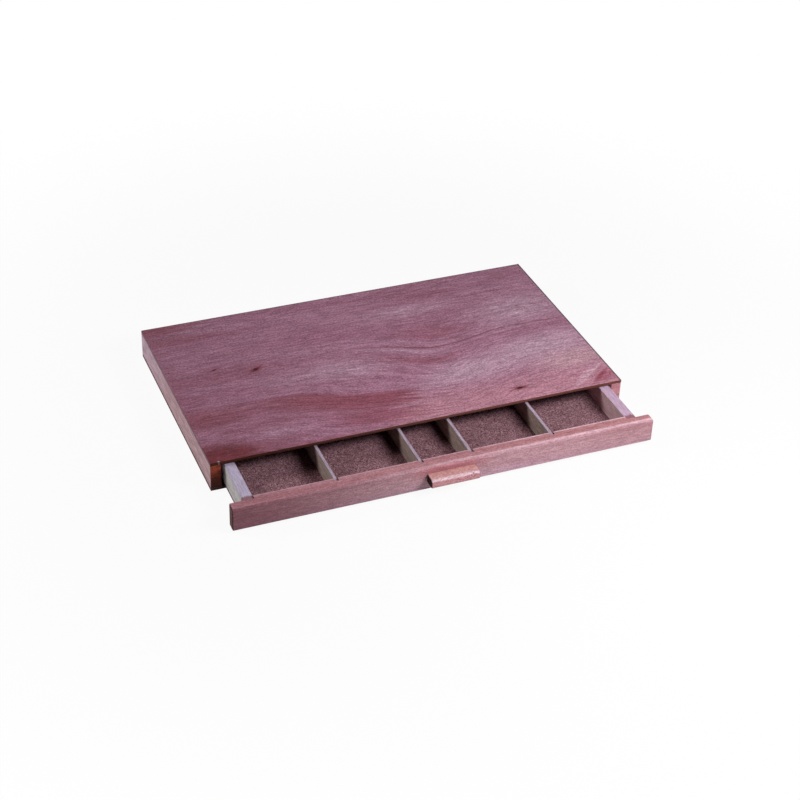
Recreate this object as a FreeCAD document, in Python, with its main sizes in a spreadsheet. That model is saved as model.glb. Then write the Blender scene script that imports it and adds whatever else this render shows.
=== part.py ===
"""Single-drawer pastel box: a shallow wooden case with one lipped, compartmented drawer.

Millimetres, +Z up. The origin is the centre of the case's underside, the front faces -Y,
and left and right are as seen from the front. The drawer stands partly open.
"""
import FreeCAD
import Part
import Sketcher
import math
import os
import re

# Driving sizes: one cell each in the sheet "Sizes".
SIZES = [
    ("case_width", 410, "overall width of the case and of the drawer front"),
    ("case_depth", 235, "depth of the case without the drawer front"),
    ("top_thickness", 3, "veneered plywood top panel"),
    ("bottom_thickness", 3, "hardboard bottom panel"),
    ("rail_height", 24, "height of the side and back rails"),
    ("rail_thickness", 10, "thickness of the side and back rails"),
    ("back_rabbet", 5, "how far the back rail's ends are let into the side rails"),
    ("panel_arris", 0.6, "sanded edge of the top panel"),
    ("rail_arris", 0.6, "eased front corner of each side rail"),
    ("drawer_open", 56, "how far the drawer stands open at rest"),
    ("side_gap", 3, "running gap between drawer side and rail"),
    ("under_gap", 0.3, "running gap between drawer floor and bottom panel"),
    ("side_drop", 1.5, "drop of the drawer sides below the top panel"),
    ("front_drop", 0.5, "drop of the drawer front below the top panel"),
    ("back_gap", 5, "space left behind the closed drawer"),
    ("lip_thickness", 10, "drawer front outside the case, with its overlapping ends"),
    ("tongue_depth", 4, "rest of the drawer front, which enters the case"),
    ("front_round", 2.5, "round-over along the drawer front's top edge"),
    ("front_arris", 1.2, "round-over on the drawer front's other outer edges"),
    ("drawer_side_thickness", 10, "drawer sides"),
    ("drawer_back_thickness", 10, "drawer back"),
    ("drawer_side_arris", 0.6, "eased top edges of the drawer sides"),
    ("floor_thickness", 2.7, "hardboard drawer floor"),
    ("divider_thickness", 3, "thin boards between the compartments"),
    ("divider_drop", 0.5, "drop of the dividers below the drawer sides"),
    ("divider_arris", 0.4, "eased top edges of the dividers"),
    ("centre_width", 46, "middle compartment, narrower than the rest"),
    ("end_width", 75, "compartment at each end; the two beside the middle share what is left"),
    ("dado_depth", 4, "grooves in the drawer front and back that hold the dividers"),
    ("dado_play", 0.15, "play on each side of a divider in its groove"),
    ("divider_play", 1.5, "play at each end of a divider in its groove"),
    ("pull_length", 47, "wooden pull, along the drawer front"),
    ("pull_height", 8.4, "wooden pull, up the drawer front"),
    ("pull_depth", 12, "how far the pull stands out"),
    ("pull_rise", 1, "height of the pull's middle above the middle of the drawer front"),
    ("pull_round", 4, "round-over along the pull's top"),
    ("pull_under_round", 2, "round-over along the pull's underside"),
    ("pull_arris", 0.5, "bevel round the pull's ends"),
    ("screw_spacing", 30, "distance between the two pull screws"),
    ("screw_shank", 3, "diameter of a pull screw's shank"),
    ("screw_head", 6, "diameter of its countersunk head"),
    ("screw_length", 20, "length of a pull screw with its head"),
    ("screw_tip", 3, "length of its point"),
    ("screw_play", 0.05, "play round a screw's shank"),
    ("screw_spare", 0.5, "depth of a pilot hole beyond the screw's point"),
    ("recess_span", 3.2, "cross recess in the screw head, tip to tip"),
    ("recess_slot", 0.8, "width of each arm of the recess"),
    ("recess_depth", 1.2, "depth of the recess"),
    ("brad_width", 1.2, "wide side of the headless brads, which are flattened wire"),
    ("brad_gauge", 1.0, "narrow side of the brads"),
    ("brad_length", 13, "length of the brads"),
    ("brad_tip", 0.4, "bevel at a brad's point"),
    ("brad_set", 0.3, "how far a brad is punched below the surface"),
    ("brad_play", 0.05, "play round a brad in its hole"),
    ("brad_spare", 0.3, "depth of a brad's hole beyond its point"),
    ("brad_inset", 14, "first and last brad of a row, from the panel's edge"),
    ("brads_along_side", 4, "brads in each side row"),
    ("brads_along_back", 3, "brads in each back row, between the side rows"),
]
VALUE = {alias: value for alias, value, note in SIZES}

# Places and sizes that follow from the sheet, as expressions.
HALF_WIDTH = "(case_width/2)"
HALF_DEPTH = "(case_depth/2)"
RAIL_TOP = "(bottom_thickness + rail_height)"
RAIL_MIDLINE = "(case_width/2 - rail_thickness/2)"
BACK_RAIL_INSIDE = "(case_depth/2 - rail_thickness)"
BACK_RAIL_MIDLINE = "(case_depth/2 - rail_thickness/2)"
BACK_RAIL_END = "(case_width/2 - rail_thickness + back_rabbet)"
DRAWER_HALF = "(case_width/2 - rail_thickness - side_gap)"
INSIDE_HALF = f"({DRAWER_HALF} - drawer_side_thickness)"
DRAWER_LENGTH = "(case_depth - rail_thickness - back_gap)"
BACK_INSIDE = f"({DRAWER_LENGTH} - drawer_back_thickness)"
BACK_MIDLINE = f"({DRAWER_LENGTH} - drawer_back_thickness/2)"
FLOOR_UNDER = "(bottom_thickness + under_gap)"
FLOOR_TOP = f"({FLOOR_UNDER} + floor_thickness)"
SIDE_TOP = f"({RAIL_TOP} - side_drop)"
FRONT_TOP = f"({RAIL_TOP} - front_drop)"
DIVIDER_TOP = f"({SIDE_TOP} - divider_drop)"
PULL_MIDLINE = f"(({FRONT_TOP} + {FLOOR_UNDER})/2 + pull_rise)"
INNER_DIVIDER = "(centre_width/2 + divider_thickness/2)"
OUTER_DIVIDER = f"({INSIDE_HALF} - end_width - divider_thickness/2)"
DIVIDERS = {
    "divider_outer_left": f"-{OUTER_DIVIDER}",
    "divider_inner_left": f"-{INNER_DIVIDER}",
    "divider_inner_right": INNER_DIVIDER,
    "divider_outer_right": OUTER_DIVIDER,
}
BRAD_REACH = "(brad_set + brad_length + brad_spare)"
SCREW_HOLE = "(screw_shank + 2*screw_play)"
SCREW_PLACES = [("-screw_spacing/2", PULL_MIDLINE), ("screw_spacing/2", PULL_MIDLINE)]

doc = FreeCAD.newDocument("pastel_drawer_box")
sheet = doc.addObject("Spreadsheet::Sheet", "Sizes")
for row, (alias, value, note) in enumerate(SIZES, 1):
    sheet.set(f"A{row}", note)
    sheet.set(f"B{row}", str(value))
    sheet.setAlias(f"B{row}", alias)
doc.recompute()


# ---------------------------------------------------------------- modelling steps

def bind(thing, path, formula):
    """Tie a property to the sheet: each size's name in the formula becomes a cell of Sizes."""
    words = re.sub(r"[a-z_]+", lambda word: "Sizes." + word.group(), formula)
    thing.setExpression(path, words)


def new_body(name):
    body = doc.addObject("PartDesign::Body", name)
    body.Label = name
    return body


def drawer_body(name):
    """A body whose y = 0 is the back of the drawer front's lip, set at the drawer's place."""
    body = new_body(name)
    bind(body, "Placement.Base.y", f"-{HALF_DEPTH} - drawer_open")
    return body


def new_sketch(body, role, lift="0", shift="0"):
    """Sketch on an origin plane, lifted along the plane's normal and shifted along its own y."""
    plane = next(item for item in body.Origin.OriginFeatures if item.Role == role)
    sketch = body.newObject("Sketcher::SketchObject", f"{body.Name}_sketch")
    sketch.AttachmentSupport = [(plane, "")]
    sketch.MapMode = "FlatFace"
    bind(sketch, "AttachmentOffset.Base.z", lift)
    bind(sketch, "AttachmentOffset.Base.y", shift)
    return sketch


def pin_point(sketch, geometry, point, place):
    """Fix a point of the sketch at a place given by two formulas."""
    for kind, axis, formula in (("DistanceX", 0, place[0]), ("DistanceY", 1, place[1])):
        start = sketch.getPoint(geometry, point)[axis]
        rule = sketch.addConstraint(Sketcher.Constraint(kind, -1, 1, geometry, point, start))
        bind(sketch, f"Constraints[{rule}]", formula)


def add_outline(sketch, corners):
    """Closed outline through corners given as pairs of formulas, in order round the shape."""
    count = len(corners)
    first = sketch.GeometryCount
    start = [FreeCAD.Vector(math.cos(i * math.tau / count), math.sin(i * math.tau / count), 0)
             for i in range(count)]
    for i in range(count):
        sketch.addGeometry(Part.LineSegment(start[i], start[(i + 1) % count]), False)
    for i in range(count):
        follower = first + (i + 1) % count
        sketch.addConstraint(Sketcher.Constraint("Coincident", first + i, 2, follower, 1))
    for i, corner in enumerate(corners):
        pin_point(sketch, first + i, 1, corner)


def add_rectangle(sketch, across, up):
    (left, right), (low, high) = across, up
    add_outline(sketch, [(left, low), (right, low), (right, high), (left, high)])


def add_circles(sketch, places, diameter):
    for place in places:
        circle = Part.Circle(FreeCAD.Vector(0, 0, 0), FreeCAD.Vector(0, 0, 1), 1)
        index = sketch.addGeometry(circle, False)
        rule = sketch.addConstraint(Sketcher.Constraint("Diameter", index, 2))
        bind(sketch, f"Constraints[{rule}]", diameter)
        pin_point(sketch, index, 3, place)


def sweep(body, kind, sketch, length, reverse=False):
    """Pad or Pocket of a sketch over a length given as a formula."""
    feature = body.newObject(f"PartDesign::{kind}", f"{body.Name}_{kind.lower()}")
    feature.Profile = sketch
    feature.Reversed = reverse
    bind(feature, "Length", length)
    body.Tip = feature
    doc.recompute()
    return feature


def cut_down(body, sketch, depth, reverse=False):
    """Pocket that has to take material away."""
    before = body.Shape.Volume
    feature = sweep(body, "Pocket", sketch, depth, reverse)
    if body.Shape.Volume > before - 1e-3:
        raise RuntimeError(f"{feature.Name} cuts nothing")
    return feature


def edges_on(feature, *sides):
    """Edges that lie in every named side of the feature's own box, such as ZMax and YMin."""
    box = feature.Shape.BoundBox
    found = []
    for number, edge in enumerate(feature.Shape.Edges, 1):
        span = edge.BoundBox
        flat = [abs(getattr(span, side[0] + "Min") - getattr(box, side)) < 1e-4
                and abs(getattr(span, side[0] + "Max") - getattr(box, side)) < 1e-4
                for side in sides]
        if all(flat):
            found.append(f"Edge{number}")
    return found


def round_over(body, edges, radius, kind="Fillet"):
    base = body.Tip
    feature = body.newObject(f"PartDesign::{kind}", f"{body.Name}_{kind.lower()}")
    feature.Base = (base, edges)
    bind(feature, "Radius" if kind == "Fillet" else "Size", radius)
    body.Tip = feature
    doc.recompute()
    return feature


def mirror(body, features):
    """Repeat features on the other side of the middle plane x = 0."""
    plane = next(item for item in body.Origin.OriginFeatures if item.Role == "YZ_Plane")
    feature = body.newObject("PartDesign::Mirrored", f"{body.Name}_mirrored")
    feature.Originals = features
    feature.MirrorPlane = (plane, [""])
    body.Tip = feature
    doc.recompute()
    return feature


def board(body, across, along, up):
    """Plain board between pairs of formulas for x, y and z."""
    sketch = new_sketch(body, "XY_Plane", up[0])
    add_rectangle(sketch, across, along)
    return sweep(body, "Pad", sketch, f"{up[1]} - {up[0]}")


# ---------------------------------------------------------------- rows of brads

def brad_rows(row_x, first_y, last_y, back_y):
    """Two side rows and one back row of brad places, as pairs of formulas."""
    side_count = max(2, round(VALUE["brads_along_side"]))
    back_count = max(1, round(VALUE["brads_along_back"]))
    places = []
    for i in range(side_count):
        y = f"{first_y} + {i}*({last_y} - {first_y})/{side_count - 1}"
        places += [(f"-{row_x}", y), (row_x, y)]
    for i in range(1, back_count + 1):
        places.append((f"-{row_x} + {i}*2*{row_x}/{back_count + 1}", back_y))
    return places


def add_brad_sections(sketch, places, play="0"):
    """Cross-sections of brads, or of their holes with the play round them."""
    wide = f"(brad_width/2 + {play})"
    narrow = f"(brad_gauge/2 + {play})"
    for x, y in places:
        add_rectangle(sketch, (f"{x} - {wide}", f"{x} + {wide}"),
                      (f"{y} - {narrow}", f"{y} + {narrow}"))


def drill_brads(body, role, places, face, depth, reverse=False):
    """Brad holes from a face to a depth; the face is a lift along the plane's normal."""
    sketch = new_sketch(body, role, face)
    add_brad_sections(sketch, places, "brad_play")
    return cut_down(body, sketch, depth, reverse)


def drive_brads(body, role, places, face, reverse=False):
    """Brads themselves, each a separate pin with a bevelled point."""
    sketch = new_sketch(body, role, face)
    add_brad_sections(sketch, places)
    return sweep(body, "Pad", sketch, "brad_length", reverse)


CASE_BRADS = brad_rows(RAIL_MIDLINE, f"(brad_inset - {HALF_DEPTH})", f"({HALF_DEPTH} - brad_inset)",
                       BACK_RAIL_MIDLINE)
SIDE_BRAD_COUNT = 2 * max(2, round(VALUE["brads_along_side"]))
FLOOR_BRADS = brad_rows(f"({DRAWER_HALF} - drawer_side_thickness/2)", "brad_inset",
                        f"({DRAWER_LENGTH} - brad_inset)", BACK_MIDLINE)
TOP_BRAD_REACH = f"({BRAD_REACH} - top_thickness)"
BOTTOM_BRAD_REACH = f"({BRAD_REACH} - bottom_thickness)"
FLOOR_BRAD_REACH = f"({BRAD_REACH} - floor_thickness)"
PIN_HEIGHTS = (0.25, 0.75)  # corner brads, as shares of the cross board's height
CORNER_PINS_CASE = [(BACK_RAIL_MIDLINE, f"bottom_thickness + rail_height*{share}")
                    for share in PIN_HEIGHTS]
CORNER_PINS_DRAWER = [(BACK_MIDLINE, f"{FLOOR_TOP} + ({SIDE_TOP} - {FLOOR_TOP})*{share}")
                      for share in PIN_HEIGHTS]


# ---------------------------------------------------------------- case

def top_panel():
    """Thin veneered panel over all three rails, pinned down along them."""
    body = new_body("top_panel")
    pad = board(body, (f"-{HALF_WIDTH}", HALF_WIDTH), (f"-{HALF_DEPTH}", HALF_DEPTH),
                (RAIL_TOP, f"({RAIL_TOP} + top_thickness)"))
    round_over(body, edges_on(pad, "ZMax"), "panel_arris")
    drill_brads(body, "XY_Plane", CASE_BRADS, f"{RAIL_TOP} + top_thickness", "top_thickness")
    return body


def bottom_panel():
    body = new_body("bottom_panel")
    board(body, (f"-{HALF_WIDTH}", HALF_WIDTH), (f"-{HALF_DEPTH}", HALF_DEPTH),
          ("0", "bottom_thickness"))
    drill_brads(body, "XY_Plane", CASE_BRADS, "bottom_thickness", "bottom_thickness")
    return body


def rail_brads(body, places):
    """Holes in a rail for the brads of the panel above it and of the panel below it."""
    drill_brads(body, "XY_Plane", places, RAIL_TOP, TOP_BRAD_REACH)
    drill_brads(body, "XY_Plane", places, "bottom_thickness", BOTTOM_BRAD_REACH, reverse=True)


def side_rail(name, side):
    """Side rail with a rabbet at its back end for the back rail; side is - or + for x."""
    body = new_body(name)
    outer = f"{side}{HALF_WIDTH}"
    inner = f"{side}(case_width/2 - rail_thickness)"
    notch = f"{side}{BACK_RAIL_END}"
    sketch = new_sketch(body, "XY_Plane", "bottom_thickness")
    add_outline(sketch, [(outer, f"-{HALF_DEPTH}"), (inner, f"-{HALF_DEPTH}"),
                         (inner, BACK_RAIL_INSIDE), (notch, BACK_RAIL_INSIDE),
                         (notch, HALF_DEPTH), (outer, HALF_DEPTH)])
    pad = sweep(body, "Pad", sketch, "rail_height")
    round_over(body, edges_on(pad, "YMin", "XMin" if side == "-" else "XMax"), "rail_arris")
    first = 0 if side == "-" else 1
    rail_brads(body, CASE_BRADS[:SIDE_BRAD_COUNT][first::2])
    drill_brads(body, "YZ_Plane", CORNER_PINS_CASE, outer, "rail_thickness", reverse=side == "-")
    return body


def back_rail():
    body = new_body("back_rail")
    board(body, (f"-{BACK_RAIL_END}", BACK_RAIL_END), (BACK_RAIL_INSIDE, HALF_DEPTH),
          ("bottom_thickness", RAIL_TOP))
    rail_brads(body, CASE_BRADS[SIDE_BRAD_COUNT:])
    reach = f"{BRAD_REACH} - rail_thickness + back_rabbet"
    right = drill_brads(body, "YZ_Plane", CORNER_PINS_CASE, BACK_RAIL_END, reach)
    mirror(body, [right])
    return body


def panel_brads(name, places, face, reverse=False, make=new_body):
    """Headless brads driven from one face of a panel, all in one node."""
    body = make(name)
    pins = drive_brads(body, "XY_Plane", places, face, reverse)
    round_over(body, edges_on(pins, "ZMin" if reverse else "ZMax"), "brad_tip", "Chamfer")
    return body


def corner_brads(name, places, face, make=new_body):
    """Brads driven from both sides into the ends of a cross board."""
    body = make(name)
    pins = drive_brads(body, "YZ_Plane", places, f"{face} - brad_set", reverse=True)
    tips = round_over(body, edges_on(pins, "XMin"), "brad_tip", "Chamfer")
    mirror(body, [pins, tips])
    return body


# ---------------------------------------------------------------- drawer

def cut_dadoes(body, wall, end, depth):
    """Upright grooves for the four dividers, open at the top, from a wall to the groove's end."""
    half = "(divider_thickness/2 + dado_play)"
    sketch = new_sketch(body, "XY_Plane", FRONT_TOP)
    for middle in DIVIDERS.values():
        add_rectangle(sketch, (f"{middle} - {half}", f"{middle} + {half}"), (wall, end))
    return cut_down(body, sketch, depth)


def drawer_front():
    """Moulded front: overlapping lip, tongue inside the case, dadoes and pull screw holes."""
    body = drawer_body("drawer_front")
    section = new_sketch(body, "YZ_Plane", f"-{HALF_WIDTH}")
    add_outline(section, [("-lip_thickness", FLOOR_UNDER), ("0", FLOOR_UNDER), ("0", FLOOR_TOP),
                          ("tongue_depth", FLOOR_TOP), ("tongue_depth", FRONT_TOP),
                          ("-lip_thickness", FRONT_TOP)])
    sweep(body, "Pad", section, "case_width")
    rabbets = new_sketch(body, "XY_Plane", FRONT_TOP)
    for side in "-+":
        ends = (f"{side}{HALF_WIDTH}", f"{side}{INSIDE_HALF}")
        add_rectangle(rabbets, ends, ("0", "tongue_depth"))
    lipped = cut_down(body, rabbets, f"{FRONT_TOP} - {FLOOR_UNDER}")
    rounded = round_over(body, edges_on(lipped, "YMin", "ZMax"), "front_round")
    eased = round_over(body, edges_on(rounded, "YMin", "ZMin"), "front_arris")
    round_over(body, edges_on(eased, "XMin") + edges_on(eased, "XMax"), "front_arris")
    cut_dadoes(body, "tongue_depth", "tongue_depth - dado_depth", f"{FRONT_TOP} - {FLOOR_TOP}")
    drill_screws(body)
    return body


def drill_screws(body):
    """Countersunk clearance holes for the pull screws, from the tongue's face outwards."""
    sketch = new_sketch(body, "XZ_Plane", "-tongue_depth")
    add_circles(sketch, SCREW_PLACES, "screw_shank")
    doc.recompute()
    before = body.Shape.Volume
    hole = body.newObject("PartDesign::Hole", "drawer_front_hole")
    hole.Profile = sketch
    hole.Reversed = True
    hole.DepthType = "ThroughAll"
    hole.ThreadType = "None"
    hole.HoleCutType = "Countersink"
    hole.HoleCutCountersinkAngle = 90
    bind(hole, "Diameter", SCREW_HOLE)
    bind(hole, "HoleCutDiameter", "screw_head + 2*screw_play")
    body.Tip = hole
    doc.recompute()
    if body.Shape.Volume > before - 1e-3:
        raise RuntimeError("the pull's screw holes cut nothing")


def drawer_pull():
    """Short wooden bar glued and screwed to the drawer front, rounded above for the fingers."""
    body = drawer_body("drawer_pull")
    low = f"({PULL_MIDLINE} - pull_height/2)"
    high = f"({PULL_MIDLINE} + pull_height/2)"
    nose = "(-lip_thickness - pull_depth)"
    pad = board(body, ("-pull_length/2", "pull_length/2"), (nose, "-lip_thickness"), (low, high))
    rounded = round_over(body, edges_on(pad, "YMin", "ZMax"), "pull_round")
    eased = round_over(body, edges_on(rounded, "YMin", "ZMin"), "pull_under_round")
    ends = [edge for side in ("XMin", "XMax") for edge in edges_on(eased, side)
            if edge not in edges_on(eased, "YMax")]
    round_over(body, ends, "pull_arris", "Chamfer")
    pilot = new_sketch(body, "XZ_Plane", "lip_thickness")
    add_circles(pilot, SCREW_PLACES, SCREW_HOLE)
    cut_down(body, pilot, "screw_length + screw_spare - lip_thickness - tongue_depth", reverse=True)
    return body


def pull_screws():
    """Two countersunk wood screws through the drawer front into the pull."""
    body = drawer_body("pull_screws")
    profile = new_sketch(body, "YZ_Plane", "screw_spacing/2", PULL_MIDLINE)
    head_end = "tongue_depth - (screw_head - screw_shank)/2"
    point = "tongue_depth - screw_length"
    add_outline(profile, [("tongue_depth", "0"), ("tongue_depth", "screw_head/2"),
                          (head_end, "screw_shank/2"), (f"{point} + screw_tip", "screw_shank/2"),
                          (point, "0")])
    turned = body.newObject("PartDesign::Revolution", "pull_screws_revolution")
    turned.Profile = profile
    turned.ReferenceAxis = (profile, ["H_Axis"])
    turned.Angle = 360
    body.Tip = turned
    doc.recompute()
    cross = new_sketch(body, "XZ_Plane", "-tongue_depth", PULL_MIDLINE)
    arm, span = "recess_slot/2", "recess_span/2"
    spin = "screw_spacing/2"
    add_outline(cross, [(f"{spin} + {x}", y) for x, y in (
        (arm, f"-{span}"), (arm, f"-{arm}"), (span, f"-{arm}"), (span, arm), (arm, arm),
        (arm, span), (f"-{arm}", span), (f"-{arm}", arm), (f"-{span}", arm),
        (f"-{span}", f"-{arm}"), (f"-{arm}", f"-{arm}"), (f"-{arm}", f"-{span}"))])
    recess = cut_down(body, cross, "recess_depth", reverse=True)
    mirror(body, [turned, recess])
    return body


def drawer_side(name, side):
    """Drawer side, seated in the front's rabbet and pinned to the back."""
    body = drawer_body(name)
    outer, inner = f"{side}{DRAWER_HALF}", f"{side}{INSIDE_HALF}"
    pad = board(body, (outer, inner), ("0", DRAWER_LENGTH), (FLOOR_TOP, SIDE_TOP))
    long_edges = edges_on(pad, "ZMax", "XMin") + edges_on(pad, "ZMax", "XMax")
    round_over(body, long_edges, "drawer_side_arris")
    first = 0 if side == "-" else 1
    drill_brads(body, "XY_Plane", FLOOR_BRADS[:SIDE_BRAD_COUNT][first::2], FLOOR_TOP,
                FLOOR_BRAD_REACH, reverse=True)
    drill_brads(body, "YZ_Plane", CORNER_PINS_DRAWER, outer, "drawer_side_thickness",
                reverse=side == "-")
    return body


def drawer_back():
    body = drawer_body("drawer_back")
    board(body, (f"-{INSIDE_HALF}", INSIDE_HALF), (BACK_INSIDE, DRAWER_LENGTH),
          (FLOOR_TOP, SIDE_TOP))
    cut_dadoes(body, BACK_INSIDE, f"{BACK_INSIDE} + dado_depth", f"{FRONT_TOP} - {FLOOR_TOP}")
    drill_brads(body, "XY_Plane", FLOOR_BRADS[SIDE_BRAD_COUNT:], FLOOR_TOP, FLOOR_BRAD_REACH,
                reverse=True)
    reach = f"{BRAD_REACH} - drawer_side_thickness"
    right = drill_brads(body, "YZ_Plane", CORNER_PINS_DRAWER, INSIDE_HALF, reach)
    mirror(body, [right])
    return body


def drawer_floor():
    """Hardboard floor pinned under the sides and back, with its front edge under the tongue."""
    body = drawer_body("drawer_floor")
    board(body, (f"-{DRAWER_HALF}", DRAWER_HALF), ("0", DRAWER_LENGTH), (FLOOR_UNDER, FLOOR_TOP))
    drill_brads(body, "XY_Plane", FLOOR_BRADS, FLOOR_TOP, "floor_thickness")
    return body


def divider(name, middle):
    """Thin loose board standing on the floor with its ends in two dadoes."""
    body = drawer_body(name)
    pad = board(body, (f"{middle} - divider_thickness/2", f"{middle} + divider_thickness/2"),
                ("(tongue_depth - dado_depth + divider_play)",
                 f"({BACK_INSIDE} + dado_depth - divider_play)"),
                (FLOOR_TOP, DIVIDER_TOP))
    long_edges = edges_on(pad, "ZMax", "XMin") + edges_on(pad, "ZMax", "XMax")
    round_over(body, long_edges, "divider_arris")
    return body


# ---------------------------------------------------------------- assembly and export

bodies = [
    top_panel(),
    bottom_panel(),
    side_rail("side_rail_left", "-"),
    side_rail("side_rail_right", "+"),
    back_rail(),
    panel_brads("top_panel_brads", CASE_BRADS, f"{RAIL_TOP} + top_thickness - brad_set", True),
    panel_brads("bottom_panel_brads", CASE_BRADS, "brad_set"),
    corner_brads("back_corner_brads", CORNER_PINS_CASE, HALF_WIDTH),
    drawer_front(),
    drawer_pull(),
    pull_screws(),
    drawer_side("drawer_side_left", "-"),
    drawer_side("drawer_side_right", "+"),
    drawer_back(),
    drawer_floor(),
    panel_brads("drawer_floor_brads", FLOOR_BRADS, f"{FLOOR_UNDER} + brad_set", make=drawer_body),
    corner_brads("drawer_corner_brads", CORNER_PINS_DRAWER, DRAWER_HALF, make=drawer_body),
]
bodies += [divider(name, middle) for name, middle in DIVIDERS.items()]
doc.recompute()

for item in doc.Objects:
    if "Invalid" in item.State or "Error" in item.State:
        raise RuntimeError(f"{item.Name} failed: {item.State}")
os.makedirs("parts", exist_ok=True)
for body in bodies:
    shape = body.Shape
    if shape.isNull() or not shape.isValid():
        raise RuntimeError(f"{body.Label} has no valid shape")
    shape.exportStep(f"parts/{body.Label}.step")
    print(f"{body.Label}: {len(shape.Solids)} solid(s), {shape.Volume / 1000:.2f} cm3")
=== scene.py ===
import math

import bmesh
import bpy
from mathutils import Matrix, Vector


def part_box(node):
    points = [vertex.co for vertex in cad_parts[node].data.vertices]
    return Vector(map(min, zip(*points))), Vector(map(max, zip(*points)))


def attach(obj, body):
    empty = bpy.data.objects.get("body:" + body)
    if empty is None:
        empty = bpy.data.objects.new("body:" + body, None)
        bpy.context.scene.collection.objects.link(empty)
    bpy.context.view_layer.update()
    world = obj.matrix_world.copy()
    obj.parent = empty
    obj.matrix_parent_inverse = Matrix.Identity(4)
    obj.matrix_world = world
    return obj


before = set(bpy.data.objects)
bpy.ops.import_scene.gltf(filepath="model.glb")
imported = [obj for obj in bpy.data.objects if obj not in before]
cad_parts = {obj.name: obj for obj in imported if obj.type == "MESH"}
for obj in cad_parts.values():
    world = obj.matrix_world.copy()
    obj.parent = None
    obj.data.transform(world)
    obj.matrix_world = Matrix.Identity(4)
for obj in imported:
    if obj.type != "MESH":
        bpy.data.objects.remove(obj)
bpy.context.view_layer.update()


# ---------------------------------------------------------------- bottom panel
# The case stands on a sheet of 3 mm pressed hardboard. It is cut to the size of the top,
# left bare, and nailed up into the rails from below.

def rgb(red, green, blue):
    """A colour as a paint chart gives it, 0 to 255, made linear for a shader."""
    parts = [c / 255 for c in (red, green, blue)]
    return [c / 12.92 if c <= 0.04045 else ((c + 0.055) / 1.055) ** 2.4 for c in parts] + [1.0]


def new_finish(name):
    """A material with nothing in its tree yet."""
    finish = bpy.data.materials.new(name)
    finish.use_nodes = True
    finish.node_tree.nodes.clear()
    return finish


def add(finish, kind, inputs, **settings):
    """A node of one kind, with its inputs set, or joined to another node's output."""
    node = finish.node_tree.nodes.new("ShaderNode" + kind)
    for setting, value in settings.items():
        setattr(node, setting, value)
    for place, value in inputs.items():
        if isinstance(value, bpy.types.NodeSocket):
            finish.node_tree.links.new(value, node.inputs[place])
        else:
            node.inputs[place].default_value = value
    return node


def laid(finish, size, centre=(0, 0, 0), turn=0, place=None):
    """The piece's own place in cells of size mm, counted from centre and turned flat by degrees."""
    cells = add(finish, "Mapping", {
        "Vector": place or add(finish, "TexCoord", {}).outputs["Object"],
        "Location": [c / 1000 for c in centre],
        "Rotation": (0, 0, math.radians(turn)),
        "Scale": [s / 1000 for s in size],
    }, vector_type="TEXTURE")
    return cells.outputs[0]


def mottle(finish, where, detail=2, roughness=0.5, distortion=0):
    """Uneven light and dark, about one cell across, from 0 to 1."""
    return add(finish, "TexNoise", {
        "Vector": where, "Scale": 1, "Detail": detail, "Roughness": roughness,
        "Distortion": distortion,
    }).outputs["Fac"]


def ease(finish, value, low, high, least=0.0, most=1.0):
    """least below low, most above high, and a smooth change between them."""
    return add(finish, "MapRange", {
        "Value": value, "From Min": low, "From Max": high, "To Min": least, "To Max": most,
    }, interpolation_type="SMOOTHSTEP").outputs["Result"]


def calc(finish, operation, first, second=0.0):
    """Two shares or lengths taken together by one sum."""
    return add(finish, "Math", {0: first, 1: second}, operation=operation).outputs[0]


def times(finish, first, second):
    """One share of another."""
    return calc(finish, "MULTIPLY", first, second)


def mix(finish, share, under, over, way="MIX"):
    """The colour over laid on the colour under, where share is 1."""
    return add(finish, "Mix", {
        0: share, 6: under, 7: over,
    }, data_type="RGBA", blend_type=way).outputs[2]


def speckle(finish, colour, size, strength, place=None):
    """The colour with pale and dark reddish specks, size mm, up to strength away from it."""
    grain = mottle(finish, laid(finish, size, place=place), detail=3, roughness=0.75)
    dark = (1 - 0.9 * strength, 1 - 1.15 * strength, 1 - 1.1 * strength, 1)
    pale = (1 + strength, 1 + strength, 1 + strength, 1)
    specks = mix(finish, ease(finish, grain, 0.3, 0.7), dark, pale)
    return mix(finish, 1.0, colour, specks, "MULTIPLY")


def seal(finish, colour, relief, depth, roughness, gloss=0.5, metal=0.0):
    """The last coat: the colour, a relief depth mm high, and how dull and clear the surface is."""
    raised = add(finish, "Bump", {"Height": relief, "Distance": depth / 1000, "Strength": 1})
    surface = add(finish, "BsdfPrincipled", {
        "Base Color": colour, "Roughness": roughness, "Normal": raised.outputs[0],
        "Specular IOR Level": gloss, "Metallic": metal,
    })
    add(finish, "OutputMaterial", {"Surface": surface.outputs[0]})


def put_on(finish, *names):
    """The finish goes on these CAD nodes."""
    for name in names:
        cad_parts[name].data.materials[0] = finish


BARE_GLOSS = 0.02
PULP, CLOUD, CHAFF = (1.3, 1.3, 1.3), (34, 26, 30), (0.9, 0.9, 0.9)
STRAND, STRAND_TURNS = (3.6, 0.5, 3), (20, 75, 140)


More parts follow.
